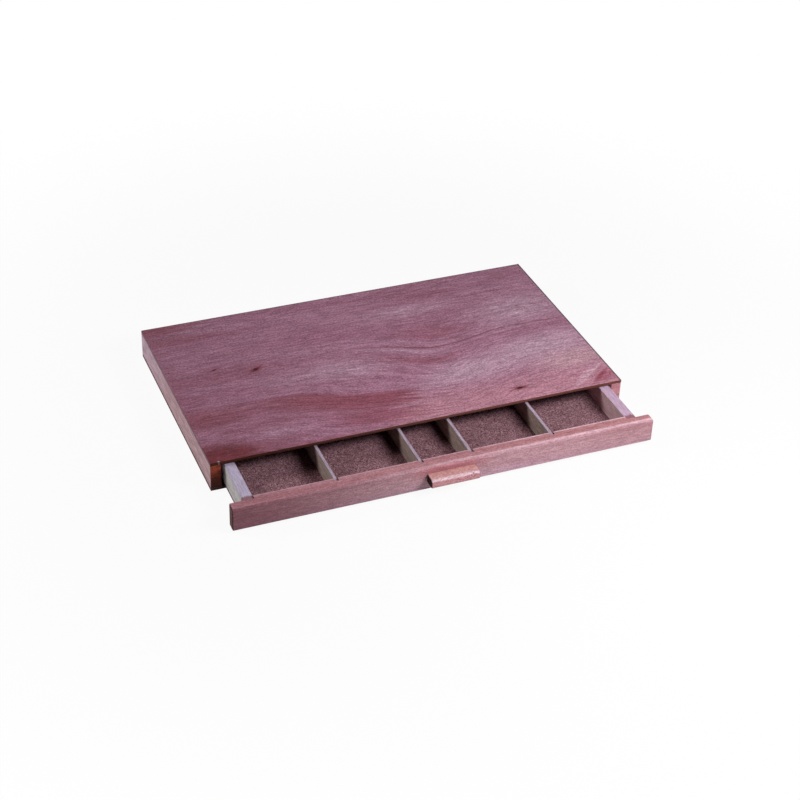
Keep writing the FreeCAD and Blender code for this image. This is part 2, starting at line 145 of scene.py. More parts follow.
def hardboard(name, light, dark):
    """Brown board of matted fibre: short strands lying every way, light and dark."""
    board = new_finish(name)
    pulp = mottle(board, laid(board, PULP), detail=4, roughness=0.7, distortion=1.2)
    clouds = mottle(board, laid(board, CLOUD), detail=3)
    colour = mix(board, ease(board, pulp, 0.36, 0.64), dark, light)

    strands = 0.0
    for turn in STRAND_TURNS:
        lying = mottle(board, laid(board, STRAND, turn=turn), detail=1, distortion=0.8)
        strands = calc(board, "MAXIMUM", strands, ease(board, lying, 0.6, 0.74))
    colour = mix(board, times(board, strands, 0.55), colour, [1.25 * c for c in light])

    chaff = mottle(board, laid(board, CHAFF), detail=0)
    colour = mix(board, ease(board, chaff, 0.6, 0.72, most=0.65), colour, [0.5 * c for c in dark])
    colour = mix(board, ease(board, clouds, 0.35, 0.7, most=0.35), colour, dark)
    colour = speckle(board, colour, (2.4, 2.2, 2.2), 0.2)
    colour = speckle(board, colour, (1.0, 1.2, 1.1), 0.7)

    relief = calc(board, "ADD", pulp, times(board, strands, 0.5))
    roughness = ease(board, pulp, 0.3, 0.7, 0.6, 0.8)
    seal(board, colour, relief, 0.12, roughness, gloss=BARE_GLOSS)
    return board


put_on(hardboard("bottom_board", rgb(132, 100, 100), rgb(92, 64, 64)), "bottom_panel")


# ---------------------------------------------------------------- case rails
# Three rails of planed beech carry the panels, two at the sides and one between them at the
# back. They are sanded, lightly varnished and butted; the sawn ends drink the stain and carry
# painted shade towards their foot.

def spot(finish):
    """How far along X, Y and Z the surface lies, in metres."""
    return add(finish, "SeparateXYZ", {0: add(finish, "TexCoord", {}).outputs["Object"]}).outputs


def facing(finish, axis, low, high):
    """1 where the surface looks along an axis, 0 where it lies along it."""
    normal = add(finish, "TexCoord", {}).outputs["Normal"]
    part = add(finish, "SeparateXYZ", {0: normal}).outputs[axis]
    return ease(finish, calc(finish, "ABSOLUTE", part), low, high)


def along(axis, long, wide):
    """A cell drawn out along the grain, in mm."""
    return [long if way == axis else wide for way in "XYZ"]


def long_grain(finish, axis, pale, dark, pore, streak=(70, 2.2), pores=(3.2, 0.34)):
    """Planed wood whose fibres run along an axis. Gives its colour and its relief."""
    def cells(long, wide):
        return laid(finish, along(axis, long, wide))
    broad = mottle(finish, cells(streak[0] * 2.2, streak[1] * 3.5), detail=2, distortion=0.4)
    fine = mottle(finish, cells(*streak), detail=4, roughness=0.65, distortion=0.3)
    rays = mottle(finish, cells(pores[0] * 0.5, pores[1] * 1.2), detail=1)
    pits = mottle(finish, cells(*pores), detail=1, roughness=0.4)

    figure = calc(finish, "ADD", times(finish, broad, 0.45), times(finish, fine, 0.55))
    colour = mix(finish, ease(finish, figure, 0.34, 0.66), dark, pale)
    colour = mix(finish, ease(finish, rays, 0.42, 0.66, most=0.3), colour, dark)
    open_pores = ease(finish, pits, 0.58, 0.74)
    colour = mix(finish, times(finish, open_pores, 0.8), colour, pore)
    relief = calc(finish, "SUBTRACT", times(finish, fine, 0.5), open_pores)
    return colour, relief


def end_grain(finish, ring, between):
    """The sawn end of a board: growth rings in shallow arcs, with open pores."""
    across = mottle(finish, laid(finish, (9, 9, 1.4), turn=12), detail=2, distortion=0.6)
    colour = mix(finish, ease(finish, across, 0.38, 0.62), ring, between)
    return speckle(finish, colour, (0.7, 0.7, 0.6), 0.45)


BEECH, BEECH_DARK, BEECH_PORE = rgb(190, 156, 162), rgb(160, 118, 124), rgb(122, 82, 86)
BEECH_SHEEN_TINT = rgb(180, 154, 176)
RAIL_GLOSS = 0.35
SHADE_FOOT_Z, SHADE_HEAD_Z = 0.004, 0.028


def rail(name, axis, end_dark, end_light, foot_shade=0.25):
    """A beech rail along an axis. Painted shade darkens its sawn ends downwards, to foot_shade
    times their colour.
    """
    wood = new_finish(name)
    colour, relief = long_grain(wood, axis, BEECH, BEECH_DARK, BEECH_PORE)
    at = spot(wood)
    # Painted sheen: the rails turn greyer and paler lavender towards the back.
    colour = mix(wood, ease(wood, at["Y"], -0.02, 0.12, 0.0, 0.6), colour, BEECH_SHEEN_TINT)
    colour = speckle(wood, colour, along(axis, 31.2, 2.6), 0.34)
    colour = speckle(wood, colour, along(axis, 10.8, 0.9), 0.34)

    ends = facing(wood, axis, 0.6, 0.8)
    sawn = end_grain(wood, end_dark, end_light)
    # Painted shade: the sawn ends grow darker towards the bottom.
    painted_end_shade = ease(wood, at["Z"], SHADE_FOOT_Z, SHADE_HEAD_Z, foot_shade, 1.1)
    colour = mix(wood, ends, colour, mix(wood, 1.0, sawn, painted_end_shade, "MULTIPLY"))
    seal(wood, colour, relief, 0.08, ease(wood, ends, 0.0, 1.0, 0.5, 0.85), gloss=RAIL_GLOSS)
    return wood


# The left rail's sawn end is browner with stain and darker still as painted shade from the drawer
# side; the right rail's end is paler.
left_rail = rail("left_rail_wood", "Y", rgb(112, 42, 28), rgb(154, 72, 48))
right_rail = rail("right_rail_wood", "Y", rgb(174, 118, 128), rgb(198, 145, 154), foot_shade=0.85)
back_rail = rail("back_rail_wood", "X", rgb(120, 70, 56), rgb(160, 110, 96))
put_on(left_rail, "side_rail_left")
put_on(right_rail, "side_rail_right")
put_on(back_rail, "back_rail")


# ---------------------------------------------------------------- top panel
# Three-ply with a reddish face veneer. Its wild grain dips across the middle and swings round
# two small knots. The face is stained and satin varnished; the bare edges show the plies.

def curve(finish, value, span, reach, points):
    """A smooth line through points (value, height), for values in span and heights in reach."""
    (low, high), (least, most) = span, reach
    share = add(finish, "MapRange", {"Value": value, "From Min": low, "From Max": high})
    bend = add(finish, "FloatCurve", {"Value": share.outputs[0]})
    line = bend.mapping.curves[0].points
    for _ in points[2:]:
        line.new(0, 0)
    for dot, (at, height) in zip(line, points):
        dot.location = (at - low) / (high - low), (height - least) / (most - least)
    bend.mapping.update()
    drawn = add(finish, "MapRange", {"Value": bend.outputs[0], "To Min": least, "To Max": most})
    return drawn.outputs[0]


def distance(finish, size, centre=(0, 0, 0), turn=0, place=None):
    """How far from centre, in cells of size mm: 1 at the rim of an oval of that half size."""
    cells = laid(finish, size, centre=centre, turn=turn, place=place)
    return add(finish, "VectorMath", {0: cells}, operation="LENGTH").outputs["Value"]


def shifted(finish, operation, place, by):
    """A place with a distance added or taken off."""
    return add(finish, "VectorMath", {0: place, 1: by}, operation=operation).outputs[0]


TOP_X, TOP_Y = (-0.205, 0.205), (-0.1175, 0.1175)
FACE_HEIGHT = 30    # mm, as the places of the marks are
FACE, FACE_DIM = rgb(184, 141, 165), rgb(170, 120, 144)
FACE_RED, FACE_DEEP, FACE_RUST = rgb(149, 85, 101), rgb(128, 66, 88), rgb(118, 48, 54)
FACE_BLUSH, FACE_PALE, FACE_WARM = rgb(194, 145, 160), rgb(206, 177, 197), rgb(214, 184, 191)
KNOT_RING, KNOT = rgb(112, 26, 44), rgb(58, 0, 10)
BRUISE_EDGE, BRUISE = rgb(150, 66, 88), rgb(134, 38, 66)
SCUFF, SCUFF_CREST, CHIP = rgb(218, 182, 198), rgb(228, 202, 214), rgb(176, 150, 162)
INNER_DARK, INNER_LIGHT = rgb(62, 40, 36), rgb(86, 60, 52)
EDGE_LEFT, EDGE_MIDDLE, EDGE_RIGHT = rgb(46, 16, 11), rgb(118, 76, 74), rgb(102, 56, 52)
EDGE_SIDE, CORE_PLY, ARRIS = rgb(114, 76, 92), rgb(126, 84, 54), rgb(52, 32, 44)
VARNISH_GLOSS = 0.1

veneer = new_finish("veneer_face")
place = add(veneer, "TexCoord", {}).outputs["Object"]
apart = add(veneer, "SeparateXYZ", {0: place}).outputs

# The grain lines: how far they fall along X, and how much of that shows along Y.
fall = curve(veneer, apart["X"], TOP_X, (-0.025, 0.025), (
    (-0.205, 0.012), (-0.095, 0.012), (-0.049, 0.009), (-0.013, 0.0055), (0.009, 0.0),
    (0.026, -0.0056), (0.045, -0.0112), (0.062, -0.0139), (0.084, -0.0126), (0.106, -0.0084),
    (0.137, -0.0056), (0.205, -0.0048),
))
reach = curve(veneer, apart["Y"], TOP_Y, (0, 1.5), (
    (-0.1175, 0.5), (-0.045, 1.3), (0.015, 1.0), (0.06, 0.35), (0.085, 0.12), (0.1175, 0.05),
))
dive = curve(veneer, apart["X"], TOP_X, (-0.02, 0.005), (
    (-0.205, 0.0), (-0.177, 0.0), (-0.113, -0.0055), (-0.066, -0.0135), (-0.027, -0.0185),
    (0.017, -0.0165), (0.062, -0.008), (0.106, 0.0), (0.205, 0.0),
))
low_reach = ease(veneer, apart["Y"], -0.055, 0.01, 1.0, 0.0)
sway = mottle(veneer, laid(veneer, (150, 55, 80)), detail=2, roughness=0.4)
sway = ease(veneer, sway, 0.2, 0.8, -0.004, 0.004)
knot_swing = 0.0
for knot in ((-120.3, 14.2, FACE_HEIGHT), (107, -97.8, FACE_HEIGHT)):
    swing = ease(veneer, distance(veneer, (22, 9, 100), knot), 0.0, 1.4, 0.004, 0.0)
    knot_swing = calc(veneer, "ADD", knot_swing, swing)
shift = calc(veneer, "ADD", times(veneer, fall, reach), times(veneer, dive, low_reach))
shift = calc(veneer, "ADD", calc(veneer, "ADD", shift, sway), knot_swing)
flow = shifted(veneer, "SUBTRACT", place, add(veneer, "CombineXYZ", {1: shift}).outputs[0])

# Fibres of uneven length fray the ends of every mark along the grain.
fray = mottle(veneer, laid(veneer, (46, 1.6, 20), place=flow), detail=3, roughness=0.6)
fray = add(veneer, "CombineXYZ", {0: ease(veneer, fray, 0.2, 0.8, -0.02, 0.02)}).outputs[0]
frayed = shifted(veneer, "ADD", place, fray)
frayed_flow = shifted(veneer, "ADD", flow, fray)


def patch(centre, size, turn=0, core=0.0, most=1.0, where=frayed):
    """An oval on the face, size mm from middle to rim: most in its core, fading to its rim."""
    far = distance(veneer, (*size, 100), (*centre, FACE_HEIGHT), turn, where)
    return ease(veneer, far, core, 1.0, most, 0.0)


def past(centre, turn, soft):
    """1 on one side of a line through centre, 0 on the other, with a soft change."""
    cells = laid(veneer, (1, 1, 1), centre=(*centre, 0), turn=turn, place=frayed)
    across = add(veneer, "SeparateXYZ", {0: cells}).outputs["X"]
    return ease(veneer, across, -soft, soft)


def stained(colour, paint, core, marks, where=frayed):
    """The colour with ovals of a paint: (middle, half size, turn, strength) in mm and degrees."""
    for centre, size, turn, strength in marks:
        colour = mix(veneer, patch(centre, size, turn, core, strength, where), colour, paint)
    return colour


bands = mottle(veneer, laid(veneer, (260, 15, 60), place=flow), detail=3, roughness=0.5)
streaks = mottle(veneer, laid(veneer, (70, 2.4, 20), place=flow), detail=4, roughness=0.62)
figure = calc(veneer, "ADD", times(veneer, bands, 0.62), times(veneer, streaks, 0.38))
colour = mix(veneer, ease(veneer, figure, 0.3, 0.66), FACE_DIM, FACE)

# A slanting break in the figure: a red tongue ends on its left, a blush begins on its right.
break_line = past((24, -54), -40, 4)
before_break = calc(veneer, "SUBTRACT", 1.0, break_line)
drift = add(veneer, "SeparateXYZ", {0: frayed_flow}).outputs
tongue = times(veneer, ease(veneer, drift["Y"], -0.053, -0.047, 1.0, 0.0),
               ease(veneer, drift["Y"], -0.09, -0.062))
tongue = times(veneer, tongue, ease(veneer, drift["X"], -0.2, -0.06, 0.2, 0.9))
colour = mix(veneer, times(veneer, tongue, before_break), colour, FACE_RED)
near_right = times(veneer, ease(veneer, apart["Y"], -0.105, -0.055, 1.0, 0.0), break_line)
colour = mix(veneer, times(veneer, near_right, 0.85), colour, FACE_BLUSH)

colour = stained(colour, FACE_RED, 0.2, (
    ((-190, -52), (60, 24), -2, 0.7), ((64, 24), (56, 20), -12, 0.4),
    ((78, 92), (52, 12), -3, 0.35), ((186, 104), (42, 13), 5, 0.2),
    ((-175, 88), (62, 11), 0, 0.5), ((-150, 16), (80, 22), 4, 0.3),
    ((192, -105), (17, 7), 40, 0.6), ((-100, -119), (120, 10), 0, 0.6),
    ((-40, -98), (64, 20), -6, 0.7), ((-205, 118), (80, 34), 0, 0.8),
    ((-203, 0), (16, 130), 0, 0.35), ((-150, -78), (60, 14), 0, 0.4),
    ((-60, -62), (90, 16), -14, 0.5), ((-128, -104), (46, 12), 2, 0.4),
))
colour = stained(colour, FACE_PALE, 0.1, (
    ((-40, -14), (64, 26), -10, 0.6), ((-130, -90), (26, 16), -20, 0.3),
    ((-92, -16), (60, 16), -8, 0.3), ((168, 36), (84, 40), 2, 0.75),
    ((52, 66), (80, 18), 0, 0.5), ((158, -36), (90, 32), 6, 0.9),
))
colour = stained(colour, FACE_WARM, 0.2, [((178, -66), (62, 24), 4, 0.6)])
pale_tongue = times(veneer, patch((76, -54), (88, 30), turn=3, core=0.1, most=0.85), break_line)
colour = mix(veneer, pale_tongue, colour, FACE_PALE)
colour = stained(colour, FACE_RUST, 0.35, [((-204, -114), (84, 34), -4, 0.95)])

# Single dark and pale lines of the figure.
colour = stained(colour, FACE_RED, 0.2, (
    ((60, 12), (170, 2.0), 0, 0.6), ((40, -7), (62, 8), 0, 0.6), ((-146, 84), (78, 2.0), 0, 0.5),
    ((152, 76), (62, 1.6), 0, 0.55), ((-176, -62), (46, 1.8), 0, 0.7),
    ((88, 90), (34, 2.0), -3, 0.6), ((-76, -50), (110, 2.2), 0, 0.6),
    ((-30, -57), (70, 1.5), 0, 0.5), ((-60, -72), (80, 1.6), 0, 0.5),
    ((150, 38), (62, 1.4), 0, 0.3), ((62, 30), (52, 1.6), -5, 0.5),
    ((70, 22), (48, 1.6), -5, 0.5), ((-60, 50), (80, 1.5), 0, 0.3),
    ((30, 104), (120, 1.5), 0, 0.4), ((-150, 40), (60, 1.5), 0, 0.3),
), where=frayed_flow)
colour = stained(colour, FACE_DEEP, 0.2, (
    ((170, 6.3), (52, 1.2), -1, 0.75), ((184, 38.8), (34, 1.3), -7, 0.8),
))
colour = stained(colour, FACE_RUST, 0.2, [((62, 12.6), (96, 1.2), 0, 0.6)], where=frayed_flow)
colour = stained(colour, FACE_PALE, 0.2, (
    ((26, 7), (66, 4.2), 0, 0.5), ((150, 8), (60, 3.6), 0, 0.3), ((150, 80), (60, 1.8), 0, 0.4),
), where=frayed_flow)

# The right front corner is bruised, with a pale scuff beside it.
colour = stained(colour, SCUFF, 0.2, [((177, -99), (38, 6), 36, 0.65)], where=place)
colour = stained(colour, SCUFF_CREST, 0.2, [((184, -96), (32, 1.5), 38, 0.45)], where=place)
colour = stained(colour, BRUISE, 0.2, [((190, -103.5), (24, 4), 40, 0.75)], where=place)
colour = stained(colour, BRUISE_EDGE, 0.2, [((197, -105), (19, 7), 40, 0.4)], where=place)

hairs = mottle(veneer, laid(veneer, (9, 1.1, 6), place=flow), detail=3, roughness=0.7)
pits = mottle(veneer, laid(veneer, (2.4, 0.34, 3), turn=4, place=flow), detail=1)
colour = mix(veneer, ease(veneer, hairs, 0.42, 0.7, most=0.42), colour, FACE_RED)
colour = mix(veneer, ease(veneer, hairs, 0.36, 0.24, most=0.25), colour, FACE_PALE)
open_pores = ease(veneer, pits, 0.56, 0.7)
colour = mix(veneer, times(veneer, open_pores, 0.5), colour, FACE_RUST)

# Knots: a reddened ring, two arms of swirled grain through it, and a dark heart.
for centre, size, turn in (
    ((-120.0, 14.4), (3.6, 2.4), 28), ((106.8, -97.9), (4.0, 2.0), 4),
    ((-158, 25.8), (2.0, 1.0), 20),
):
    long, wide = size
    colour = stained(colour, KNOT_RING, 0.1, [(centre, (2.6 * long, 2.6 * wide), turn, 0.7)],
                     where=place)
    colour = stained(colour, KNOT_RING, 0.0, (
        (centre, (5.2 * long, 0.9 * wide), turn - 22, 0.6),
        (centre, (5.2 * long, 0.9 * wide), turn + 6, 0.75),
    ), where=place)
    colour = stained(colour, KNOT, 0.5, [(centre, size, turn, 1.0)], where=place)

colour = speckle(veneer, colour, (34, 2.8, 10), 0.15, place=flow)
colour = speckle(veneer, colour, (11, 2.2, 4), 0.25, place=flow)
colour = speckle(veneer, colour, (2.0, 1.7, 1.5), 0.34)
left_dim = ease(veneer, apart["X"], -0.24, 0.02, 0.8, 1.0)
colour = mix(veneer, 1.0, colour, left_dim, "MULTIPLY")

# The edges: two dark plies with a paler core between them, and a dark arris along the right and
# back.
CORE_LOW, CORE_HIGH, CORE_SOFT = 0.0277, 0.0293, 1e-4
core = times(veneer, ease(veneer, apart["Z"], CORE_LOW - CORE_SOFT, CORE_LOW + CORE_SOFT),
             ease(veneer, apart["Z"], CORE_HIGH - CORE_SOFT, CORE_HIGH + CORE_SOFT, 1.0, 0.0))
edge_colour = mix(veneer, ease(veneer, apart["X"], -0.2, 0.1), EDGE_LEFT, EDGE_MIDDLE)
edge_colour = mix(veneer, ease(veneer, apart["X"], 0.1, 0.2, 0.0, 0.8), edge_colour, EDGE_RIGHT)
edge_colour = mix(veneer, times(veneer, core, 0.25), edge_colour, CORE_PLY)
edge_colour = mix(veneer, facing(veneer, "X", 0.5, 0.8), edge_colour, EDGE_SIDE)
edge_colour = speckle(veneer, edge_colour, (1.2, 1.2, 0.5), 0.45)
arris = calc(veneer, "MAXIMUM", ease(veneer, apart["X"], 0.2031, 0.2038),
             ease(veneer, apart["Y"], 0.1161, 0.1168))
colour = mix(veneer, times(veneer, arris, 0.85), colour, ARRIS)
rim = calc(veneer, "SUBTRACT", 1.0, facing(veneer, "Z", 0.55, 0.85))
colour = mix(veneer, rim, colour, edge_colour)

# The inner face is left brown and bare, and darkened as painted shade beneath the top.
inner_face = ease(veneer, apart["Z"], 0.0271, 0.0273, 1.0, 0.0)
colour = mix(veneer, inner_face, colour, mix(veneer, streaks, INNER_DARK, INNER_LIGHT))
colour = stained(colour, CHIP, 0.3, [((-196.8, -116.6), (1.7, 1.3), 0, 1.0)], where=place)

relief = calc(veneer, "SUBTRACT", times(veneer, streaks, 0.6), open_pores)
seal(veneer, colour, relief, 0.06, ease(veneer, streaks, 0.3, 0.7, 0.4, 0.5),
     gloss=VARNISH_GLOSS)
put_on(veneer, "top_panel")


# ---------------------------------------------------------------- brads
# Flattened steel wire brads hold the panels to the rails and the rails to each other, with
# their heads punched just under the face.

steel = new_finish("brad_wire")
scratches = mottle(steel, laid(steel, (0.3, 0.3, 2)), detail=2)
wire = mix(steel, scratches, rgb(96, 90, 88), rgb(150, 146, 144))
seal(steel, wire, scratches, 0.02, 0.45, metal=1.0)
put_on(steel, "top_panel_brads", "bottom_panel_brads", "back_corner_brads",
       "drawer_floor_brads", "drawer_corner_brads")


# ---------------------------------------------------------------- brad filler
# Brown stopping is pressed into the punched brad holes in the top and the back corners, and
# wiped off level, which leaves each spot slightly hollow and rough.

def filler_tree(name, sockets):
    """A new Geometry Nodes tree with named inputs. Gives the tree, its inputs, a node maker."""
    tree = bpy.data.node_groups.new(name, "GeometryNodeTree")
    for label, kind in sockets.items():
        tree.interface.new_socket(label, in_out="INPUT", socket_type="NodeSocket" + kind)
    tree.interface.new_socket("Geometry", in_out="OUTPUT", socket_type="NodeSocketGeometry")
    tree_inputs = tree.nodes.new("NodeGroupInput").outputs

    def step(kind, inputs, **settings):
        node = tree.nodes.new(kind)
        for setting, value in settings.items():
            setattr(node, setting, value)
        for at, value in inputs.items():
            if isinstance(value, bpy.types.NodeSocket):
                tree.links.new(value, node.inputs[at])
            else:
                node.inputs[at].default_value = value
        return node
    return tree, tree_inputs, step


plug_tree, given, step = filler_tree("filler_row", {
    "First": "Vector", "Step": "Vector", "Count": "Int", "Plug": "Vector", "Seed": "Int",
    "Stopping": "Material",
})
row = step("GeometryNodeMeshLine", {
    "Count": given["Count"], "Start Location": given["First"], "Offset": given["Step"],
}, mode="OFFSET")
dab = step("GeometryNodeMeshUVSphere", {"Segments": 14, "Rings": 8, "Radius": 0.5})
uneven = step("FunctionNodeRandomValue", {
    0: (0.92, 0.92, 1.0), 1: (1.0, 1.0, 1.0), "Seed": given["Seed"],
}, data_type="FLOAT_VECTOR")
shape = step("ShaderNodeVectorMath", {0: given["Plug"], 1: uneven.outputs[0]},
             operation="MULTIPLY")
plugs = step("GeometryNodeInstanceOnPoints", {
    "Points": row.outputs["Mesh"], "Instance": dab.outputs["Mesh"], "Scale": shape.outputs[0],
})
solid = step("GeometryNodeRealizeInstances", {0: plugs.outputs[0]})
filled = step("GeometryNodeSetMaterial", {
    "Geometry": solid.outputs[0], "Material": given["Stopping"],
})
step("NodeGroupOutput", {0: filled.outputs[0]})

stopping = new_finish("brown_stopping")
grit = mottle(stopping, laid(stopping, (0.35, 0.35, 0.35)), detail=2)
paste = mix(stopping, grit, rgb(70, 30, 28), rgb(112, 66, 60))
seal(stopping, paste, grit, 0.05, 0.7)


def filler_row(first, step_by, count, plug, seed):
    """One row of plugs, as a plain mesh."""
    holder = bpy.data.objects.new("filler_row", bpy.data.meshes.new("filler_row"))
    bpy.context.scene.collection.objects.link(holder)
    nodes = holder.modifiers.new("plugs", "NODES")
    nodes.node_group = plug_tree
    values = {"First": first, "Step": step_by, "Count": count, "Plug": plug, "Seed": seed,
              "Stopping": stopping}
    for item in plug_tree.interface.items_tree:
        if item.in_out == "INPUT":
            nodes[item.identifier] = values[item.name]
    bpy.context.view_layer.update()
    shown = holder.evaluated_get(bpy.context.evaluated_depsgraph_get())
    made = bpy.data.meshes.new_from_object(shown)
    holder.modifiers.clear()
    bpy.data.objects.remove(holder)
    return made


TOP_PLUG, SIDE_PLUG = (1.2e-3, 1.0e-3, 0.27e-3), (0.27e-3, 1.2e-3, 1.0e-3)
PLUG_MIDDLE = 0.16e-3
WIRE_HALF_X, WIRE_HALF_Y = 0.6e-3, 0.5e-3
BACK_SPACING = 0.1
top_low, top_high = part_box("top_panel")
wire_low, wire_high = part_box("top_panel_brads")
pin_low, pin_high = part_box("back_corner_brads")
face_z = top_high.z - PLUG_MIDDLE
left_x, right_x = top_low.x + PLUG_MIDDLE, top_high.x - PLUG_MIDDLE
side_x = wire_high.x - WIRE_HALF_X
front_y, back_y = wire_low.y + WIRE_HALF_Y, wire_high.y - WIRE_HALF_Y
side_step = (0, -2 * front_y / 3, 0)
pin_z = pin_low.z + WIRE_HALF_Y
pin_step = (0, 0, pin_high.z - pin_low.z - 2 * WIRE_HALF_Y)

filler = bpy.data.objects.new("brad_filler", bpy.data.meshes.new("brad_filler"))
bpy.context.scene.collection.objects.link(filler)
dabs = bmesh.new()
for seed, (first, step_by, count, plug) in enumerate((
    ((-side_x, front_y, face_z), side_step, 4, TOP_PLUG),
    ((side_x, front_y, face_z), side_step, 4, TOP_PLUG),
    ((-BACK_SPACING, back_y, face_z), (BACK_SPACING, 0, 0), 3, TOP_PLUG),
    ((left_x, back_y, pin_z), pin_step, 2, SIDE_PLUG),
    ((right_x, back_y, pin_z), pin_step, 2, SIDE_PLUG),
)):
    dabs.from_mesh(filler_row(first, step_by, count, plug, seed))
dabs.to_mesh(filler.data)
dabs.free()
filler.data.materials.append(stopping)
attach(filler, "case")


# ---------------------------------------------------------------- drawer floor
# The drawer's floor is the same hardboard, nailed up under the sides and back and let into
# the front.

put_on(hardboard("drawer_board", rgb(170, 136, 145), rgb(113, 83, 89)), "drawer_floor")


# ---------------------------------------------------------------- drawer sides and back
# The sides and back are plain unstained poplar. A little of the front's stain has run a few
# millimetres into the sides where they meet it.

STAIN_RUN = rgb(138, 82, 82)
RUN_FULL, RUN_END, RUN_RAGGED = -0.166, -0.163, 0.006


def poplar(name, axis, light, dim, top):
    """Unstained poplar with its grain along an axis, and its sawn top a colour of its own."""
    wood = new_finish(name)
    colour, relief = long_grain(wood, axis, light, dim, [0.75 * c for c in dim])
    colour = mix(wood, times(wood, facing(wood, "Z", 0.6, 0.8), 0.7), colour, top)
    colour = speckle(wood, colour, along(axis, 9, 1.1), 0.2)
    ragged = mottle(wood, laid(wood, (1.2, 12, 3)), detail=2)
    y = calc(wood, "ADD", spot(wood)["Y"], times(wood, ragged, RUN_RAGGED))
    colour = mix(wood, ease(wood, y, RUN_FULL, RUN_END, 0.8, 0.0), colour, STAIN_RUN)
    seal(wood, colour, relief, 0.06, 0.6, gloss=BARE_GLOSS)
    return wood


left_side = poplar("left_poplar", "Y",
                   rgb(232, 230, 230), rgb(206, 201, 201), rgb(196, 182, 218))
right_side = poplar("right_poplar", "Y",
                    rgb(244, 212, 216), rgb(218, 180, 185), rgb(188, 164, 198))
back_board = poplar("back_poplar", "X",
                    rgb(212, 196, 196), rgb(184, 166, 168), rgb(194, 174, 204))
put_on(left_side, "drawer_side_left")
put_on(right_side, "drawer_side_right")
put_on(back_board, "drawer_back")


# ---------------------------------------------------------------- drawer front
# The front is one strip of reddish hardwood, rabbeted behind to take the floor and sides,
# rounded over along its top and satin varnished. Its left end is darker: thicker stain and painted
# shade.

FRONT, FRONT_DARK, FRONT_PORE = rgb(203, 168, 176), rgb(181, 138, 148), rgb(138, 84, 95)
LEDGE, LEDGE_DARK, LEDGE_PORE = rgb(190, 139, 147), rgb(166, 112, 121), rgb(130, 78, 86)
FOOT_SHADE_TINT, LEFT_STAIN_AND_SHADE, RIGHT_DIM = rgb(184, 152, 176), rgb(112, 54, 68), rgb(167, 121, 127)
PULL_REDDENING, UNDER_EDGE, HIGHLIGHT_PALE = rgb(186, 104, 112), rgb(162, 112, 122), rgb(240, 208, 222)
FRONT_END, FRONT_END_DARK, FRONT_RIM = rgb(116, 90, 88), rgb(84, 56, 54), rgb(52, 22, 20)
CREST_Y, CREST_HALF, BEHIND_Y = -0.1806, (0.0003, 0.0024), (-0.1712, -0.1700)
FRONT_GLOSS = 0.3

front = new_finish("front_hardwood")
colour, relief = long_grain(front, "X", FRONT, FRONT_DARK, FRONT_PORE, streak=(90, 1.6))
at = spot(front)
# Painted shade: a bluish lavender tint along the foot of the front.
colour = mix(front, ease(front, at["Z"], 0.004, 0.016, 0.45, 0.0), colour, FOOT_SHADE_TINT)
# Darker towards the left: thicker stain and painted shade together.
colour = mix(front, ease(front, at["X"], -0.23, 0.045, 0.84, 0.0), colour, LEFT_STAIN_AND_SHADE)
# Redder on the face just above the pull.
by_pull = ease(front, calc(front, "ABSOLUTE", at["X"]), 0.015, 0.05, 1.0, 0.0)
red_above_pull = times(front, by_pull, ease(front, at["Z"], 0.014, 0.02))
colour = mix(front, times(front, red_above_pull, 0.6), colour, PULL_REDDENING)
colour = mix(front, ease(front, at["X"], 0.04, 0.2, 0.0, 0.5), colour, RIGHT_DIM)
under_edge = times(front, ease(front, at["Z"], 0.0185, 0.022, 0.0, 0.4),
                   ease(front, at["X"], -0.08, 0.06))
colour = mix(front, under_edge, colour, UNDER_EDGE)

# The level top behind the round-over, browner towards the right.
ledge, _ = long_grain(front, "X", LEDGE, LEDGE_DARK, LEDGE_PORE, streak=(60, 1.6))
browner = ease(front, at["X"], -0.14, 0.16)
ledge = mix(front, browner, ledge, (0.99, 0.96, 0.9, 1), "MULTIPLY")
colour = mix(front, facing(front, "Z", 0.86, 0.99), colour, ledge)

# Painted highlights: pale lines along the crest of the round-over and along the back arris.
from_crest = calc(front, "ABSOLUTE", calc(front, "ADD", at["Y"], -CREST_Y))
crest_highlight = calc(front, "SUBTRACT", 1.0, ease(front, from_crest, *CREST_HALF))
crest_highlight = times(front, crest_highlight, ease(front, at["X"], -0.12, 0.07, 0.0, 0.62))
back_arris_highlight = times(front, ease(front, at["Y"], *BEHIND_Y, 0.0, 0.75),
               ease(front, at["X"], 0.0, 0.1, 0.45, 1.0))
painted_highlight = times(front, calc(front, "MAXIMUM", crest_highlight, back_arris_highlight), ease(front, at["Z"], 0.0254, 0.026))
colour = mix(front, painted_highlight, colour, HIGHLIGHT_PALE)
colour = speckle(front, colour, (8, 1.6, 1.3), 0.2)
colour = speckle(front, colour, (1.5, 1.7, 1.3), 0.24)

# The sawn ends, darkest where the stain has run in from the rims.
sawn = end_grain(front, FRONT_END_DARK, FRONT_END)
inside = calc(front, "MINIMUM", ease(front, at["Y"], -0.1822, -0.1812),
              ease(front, at["Z"], 0.0048, 0.0058))
inside = calc(front, "MINIMUM", inside, ease(front, at["Z"], 0.0246, 0.0254, 1.0, 0.0))
ends = facing(front, "X", 0.6, 0.8)
colour = mix(front, ends, colour, mix(front, inside, FRONT_RIM, sawn))
dull = calc(front, "ADD", 0.48, times(front, ends, 0.5))
seal(front, colour, relief, 0.05, dull, gloss=FRONT_GLOSS)
put_on(front, "drawer_front")


# ---------------------------------------------------------------- dividers
# Four thin slats of plain wood part the drawer into five. They stand in open slots in the
# front and back with a little play, and lift out.

SLAT, SLAT_DARK, SLAT_PORE = rgb(187, 172, 163), rgb(163, 145, 135), rgb(128, 104, 94)
SLAT_TOP = rgb(182, 166, 184)

